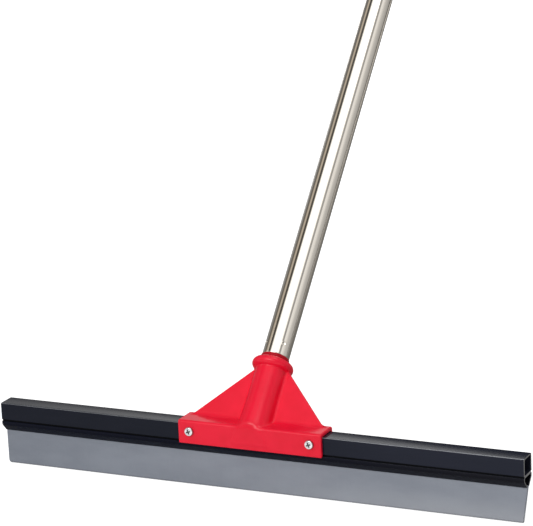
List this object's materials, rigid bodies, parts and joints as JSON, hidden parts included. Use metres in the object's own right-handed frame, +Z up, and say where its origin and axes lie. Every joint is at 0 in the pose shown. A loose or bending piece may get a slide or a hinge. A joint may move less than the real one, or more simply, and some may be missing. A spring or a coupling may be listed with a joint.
{
  "type": "floor squeegee",
  "caption": "Floor squeegee: straight hollow rail with a slide-in rubber blade, and a leaning tube handle that screws into a webbed socket bolted over the rail.",
  "frame": {"origin": "middle of the blade's lower edge", "axes": "+X along the rail to the right as seen from the front, +Y to the back, where the handle leans, +Z up"},
  "size_m": [0.457, 0.9143, 1.0068],
  "materials": {
    "black_anodised": "satin black anodised extrusion",
    "grey_rubber": "matt",
    "red_plastic": "semi-gloss moulded",
    "zinc_steel": "bright zinc plate",
    "white_nylon": "matt",
    "polished_tube": "fine brushed along its length"
  },
  "bodies": {
    "head": {"rail": "black_anodised", "socket": "red_plastic", "bolt_left": "zinc_steel", "bolt_right": "zinc_steel", "washer_left": "zinc_steel", "washer_right": "zinc_steel", "nut_left": "zinc_steel", "nut_right": "zinc_steel", "nut_insert_left": "white_nylon", "nut_insert_right": "white_nylon"},
    "blade": {"blade": "grey_rubber"},
    "collar": {"collar_ring": "red_plastic"},
    "handle": {"ferrule": "red_plastic", "handle_tube": "polished_tube", "hang_cap": "red_plastic"}
  },
  "joints": [
    {"name": "blade_slide", "type": "slide", "parent": "head", "child": "blade", "axis": [1, 0, 0], "range_m": [0, 0.457]},
    {"name": "handle_rise", "type": "slide", "parent": "head", "child": "collar", "axis": [0, 0.6858, 0.7278], "range_m": [0, 0.0254]},
    {"name": "handle_turn", "type": "hinge", "parent": "collar", "child": "handle", "pos_m": [0, 0.04081, 0.09505], "axis": [0, 0.6858, 0.7278], "range_deg": [0, 1801]}
  ],
  "couplings": [
    {"joint": "handle_turn", "follows": "handle_rise", "rad_per_m": 1236.8}
  ]
}
